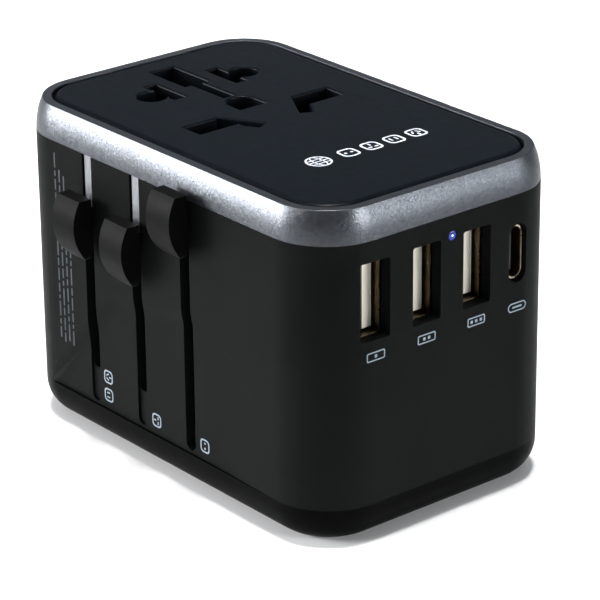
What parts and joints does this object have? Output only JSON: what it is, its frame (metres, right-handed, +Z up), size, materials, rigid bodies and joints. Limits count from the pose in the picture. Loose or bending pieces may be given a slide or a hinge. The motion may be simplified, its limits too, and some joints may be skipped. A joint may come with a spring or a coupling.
{
  "type": "universal travel adapter",
  "caption": "Compact black travel adapter with sliding plug pins on one side, a multi-standard socket on top, USB ports at one end and a silver trim ring.",
  "frame": {"origin": "centre of the flat underside, on the surface the adapter rests on", "axes": "+X along the body towards the USB face, -Y out of the face with the three sliders, +Z up out of the socket plate"},
  "size_m": [0.078, 0.0555, 0.055],
  "materials": {
    "housing_black": "fine matte black",
    "plate_satin": "satin black",
    "trim_silver": "silver metallic paint",
    "inner_grey": "matte dark grey",
    "cream_plastic": "matte cream",
    "contact_brass": "satin",
    "nickel": "nickel plate",
    "heat_sink": "matte",
    "board_green": "green solder mask",
    "component_dark": "matte",
    "copper_wire": "enamelled copper",
    "light_blue": "clear diffuser"
  },
  "bodies": {
    "housing": {"outer_sleeve": "housing_black", "base_cover": "housing_black", "trim_ring": "trim_silver", "socket_plate": "plate_satin", "guide_frame": "inner_grey", "contact_holder": "cream_plastic", "live_contacts": "contact_brass", "neutral_contacts": "contact_brass", "earth_contacts": "contact_brass", "live_rail": "contact_brass", "neutral_rail": "contact_brass", "fuse_door": "housing_black", "fuse_tube": "cream_plastic", "fuse_caps": "nickel", "fuse_clips": "contact_brass", "case_screws": "nickel", "power_board": "board_green", "port_board": "board_green", "transformer_core": "component_dark", "transformer_winding": "copper_wire", "mains_capacitor": "component_dark", "output_capacitors": "component_dark", "choke": "copper_wire", "heat_sink": "heat_sink", "control_chips": "component_dark", "usb_a_shell_1": "nickel", "usb_a_shell_2": "nickel", "usb_a_shell_3": "nickel", "usb_a_tongue_1": "cream_plastic", "usb_a_tongue_2": "cream_plastic", "usb_a_tongue_3": "cream_plastic", "usb_c_shell": "nickel", "usb_c_tongue": "component_dark", "light_pipe": "light_blue", "led_chip": "light_blue", "shutter_spring": "nickel"},
    "us_set": {"us_carriage": "inner_grey", "us_wipers": "contact_brass", "us_knob_spring": "nickel"},
    "us_left_turner": {"us_hub_left": "inner_grey", "us_blade_left": "contact_brass"},
    "us_right_turner": {"us_hub_right": "inner_grey", "us_blade_right": "contact_brass"},
    "us_button": {"us_knob": "housing_black"},
    "uk_set": {"uk_carriage": "inner_grey", "uk_wipers": "contact_brass", "uk_live_pin": "contact_brass", "uk_neutral_pin": "contact_brass", "uk_earth_pin": "contact_brass", "uk_pin_sleeves": "housing_black", "uk_knob_spring": "nickel"},
    "uk_button": {"uk_knob": "housing_black"},
    "eu_set": {"eu_carriage": "inner_grey", "eu_wipers": "contact_brass", "eu_pins": "contact_brass", "eu_pin_sleeves": "housing_black", "eu_knob_spring": "nickel"},
    "eu_button": {"eu_knob": "housing_black"},
    "shutter": {"safety_shutter": "inner_grey"}
  },
  "joints": [
    {"name": "us_slide", "type": "slide", "parent": "housing", "child": "us_set", "axis": [0, 0, -1], "range_m": [0, 0.0245]},
    {"name": "us_press", "type": "slide", "parent": "us_set", "child": "us_button", "axis": [0, 1, 0], "range_m": [0, 0.001], "stiffness_N_per_m": 300, "deforming": ["us_knob_spring"]},
    {"name": "us_left_turn", "type": "hinge", "parent": "us_set", "child": "us_left_turner", "pos_m": [-0.0182, -0.00635, 0.0277], "axis": [0, 0, 1], "range_deg": [0, 30]},
    {"name": "us_right_turn", "type": "hinge", "parent": "us_set", "child": "us_right_turner", "pos_m": [-0.0182, 0.00635, 0.0277], "axis": [0, 0, -1], "range_deg": [0, 30]},
    {"name": "uk_slide", "type": "slide", "parent": "housing", "child": "uk_set", "axis": [0, 0, -1], "range_m": [0, 0.024]},
    {"name": "uk_press", "type": "slide", "parent": "uk_set", "child": "uk_button", "axis": [0, 1, 0], "range_m": [0, 0.001], "stiffness_N_per_m": 300, "deforming": ["uk_knob_spring"]},
    {"name": "eu_slide", "type": "slide", "parent": "housing", "child": "eu_set", "axis": [0, 0, -1], "range_m": [0, 0.033]},
    {"name": "eu_press", "type": "slide", "parent": "eu_set", "child": "eu_button", "axis": [0, 1, 0], "range_m": [0, 0.001], "stiffness_N_per_m": 300, "deforming": ["eu_knob_spring"]},
    {"name": "shutter_slide", "type": "slide", "parent": "housing", "child": "shutter", "axis": [1, 0, 0], "range_m": [0, 0.0095], "stiffness_N_per_m": 60, "deforming": ["shutter_spring"]}
  ]
}
